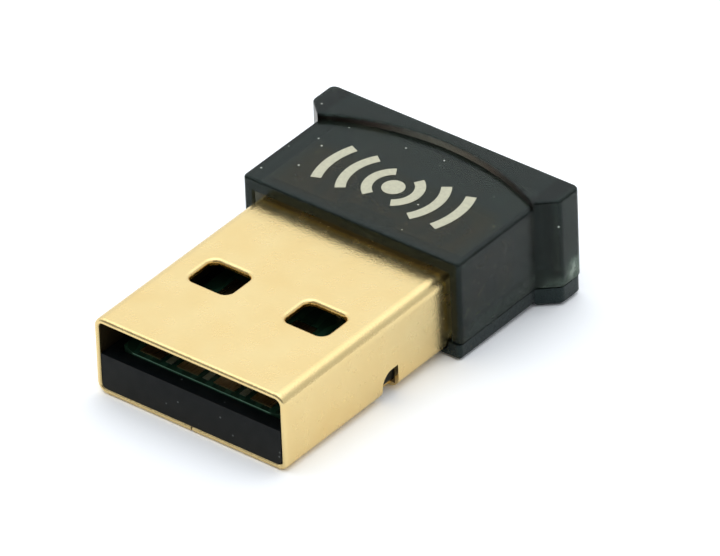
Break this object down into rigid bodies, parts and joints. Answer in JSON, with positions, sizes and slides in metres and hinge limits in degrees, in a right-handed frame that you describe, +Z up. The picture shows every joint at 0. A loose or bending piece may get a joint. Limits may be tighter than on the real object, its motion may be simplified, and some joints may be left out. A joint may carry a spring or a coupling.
{
  "type": "usb bluetooth adapter",
  "caption": "Short radio adapter: gold-plated flat plug with windows, and a smoked translucent housing with an arc step and flared grip.",
  "frame": {"origin": "centre of the bounding box's base, under the middle of the overall length", "axes": "+Z up, -Y towards the plug's mouth, +Y towards the grip, X across the width"},
  "size_m": [0.0156, 0.0212, 0.0063],
  "materials": {
    "gold_plate": "satin gold plating on folded steel sheet",
    "black_insulator": "moulded black insulator",
    "board_mask": "glass-epoxy board with green solder mask",
    "contact_gold": "gold flash over copper",
    "test_pad_tin": "pale tinned copper",
    "chip_epoxy": "moulded chip epoxy, matt",
    "tinned_metal": "tin plating",
    "crystal_ceramic": "fired dark ceramic",
    "crystal_metal": "nickel-plated lid",
    "capacitor_ceramic": "tan fired ceramic",
    "resistor_ceramic": "alumina with black overcoat",
    "ferrite_ceramic": "sintered ferrite",
    "antenna_copper": "masked copper trace",
    "solder": "bright solder",
    "smoked_plastic": "smoked translucent moulding, glossy",
    "tray_plastic": "dark smoked translucent moulding, satin"
  },
  "bodies": {
    "root": {"plug_shell": "gold_plate", "plug_carrier": "black_insulator", "circuit_board": "board_mask", "power_contact": "contact_gold", "data_minus_contact": "contact_gold", "data_plus_contact": "contact_gold", "ground_contact": "contact_gold", "programming_pads": "test_pad_tin", "radio_chip": "chip_epoxy", "radio_chip_terminals": "tinned_metal", "crystal_base": "crystal_ceramic", "crystal_lid": "crystal_metal", "memory_chip": "chip_epoxy", "memory_chip_leads": "tinned_metal", "capacitor_bodies": "capacitor_ceramic", "capacitor_end_caps": "tinned_metal", "resistor_bodies": "resistor_ceramic", "resistor_end_caps": "tinned_metal", "ferrite_bead": "ferrite_ceramic", "ferrite_bead_end_caps": "tinned_metal", "antenna_trace": "antenna_copper", "shell_solder_joints": "solder", "upper_housing": "smoked_plastic", "lower_housing": "tray_plastic"}
  },
  "joints": []
}
